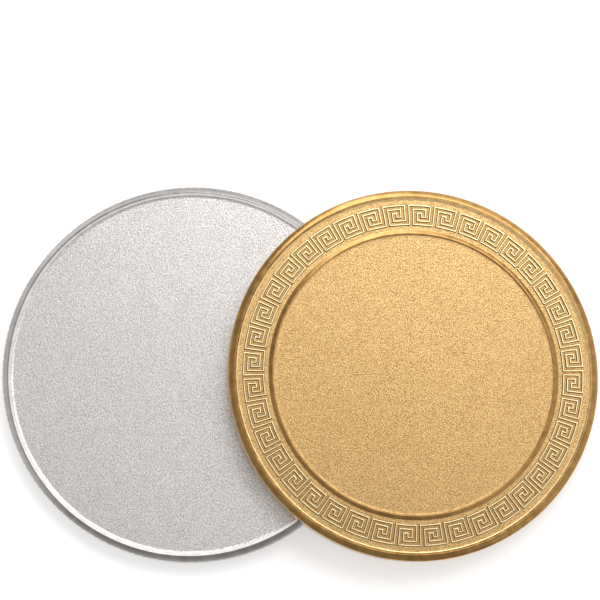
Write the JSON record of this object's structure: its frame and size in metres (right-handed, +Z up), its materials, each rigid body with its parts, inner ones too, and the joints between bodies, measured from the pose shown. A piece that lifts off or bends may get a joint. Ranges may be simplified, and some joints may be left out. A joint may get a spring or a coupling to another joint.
{
  "type": "pair of blank medals",
  "caption": "Two blank struck medals for display: a plain-rim silver medal lying flat and a gold medal with a raised meander key border leaning on it.",
  "frame": {"origin": "on the table surface, under the middle of the pair's bounding box", "axes": "+X along the line of the two centres, from the silver medal to the gold one; +Z up from the table; +Y away from the viewer"},
  "size_m": [0.0638, 0.0404, 0.0062],
  "materials": {
    "silver_plate": "sandblasted field with a polished rim",
    "gold_plate": "sandblasted field with polished rim, ring and keys"
  },
  "bodies": {
    "silver_coin": {"silver_coin": "silver_plate"},
    "gold_coin": {"gold_coin": "gold_plate"}
  },
  "joints": [
    {"name": "gold_coin_lift", "type": "slide", "parent": "silver_coin", "child": "gold_coin", "axis": [0, 0, 1], "range_m": [0, 0.04]}
  ]
}
